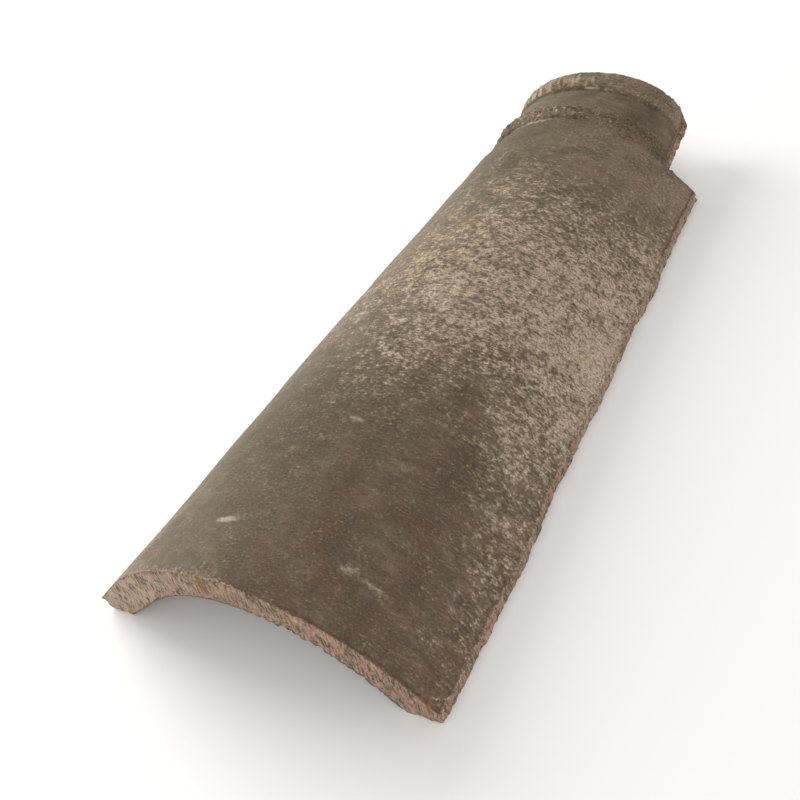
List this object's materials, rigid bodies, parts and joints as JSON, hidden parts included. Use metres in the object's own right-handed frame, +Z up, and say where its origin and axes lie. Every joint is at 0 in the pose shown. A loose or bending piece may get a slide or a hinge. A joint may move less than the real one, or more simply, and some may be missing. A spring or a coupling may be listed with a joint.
{
  "type": "half-round ridge tile",
  "caption": "Tapered half-round clay ridge tile, hollow below, with shoulders, a narrower head, a raised bead at the shoulders and a rolled bead along the head's end.",
  "frame": {"origin": "on the ground under the middle of the tile's box, with the tile lying crown up on its two long edges", "axes": "+Y along the tile from the wide end to the head, +Z up through the crown, +X across it"},
  "size_m": [0.2008, 0.458, 0.0626],
  "materials": {
    "fired_clay": "matt, smoky grey-brown fired clay with tan lichen speckle and pinkish cut faces"
  },
  "bodies": {
    "root": {"half_round_tile": "fired_clay"}
  },
  "joints": []
}
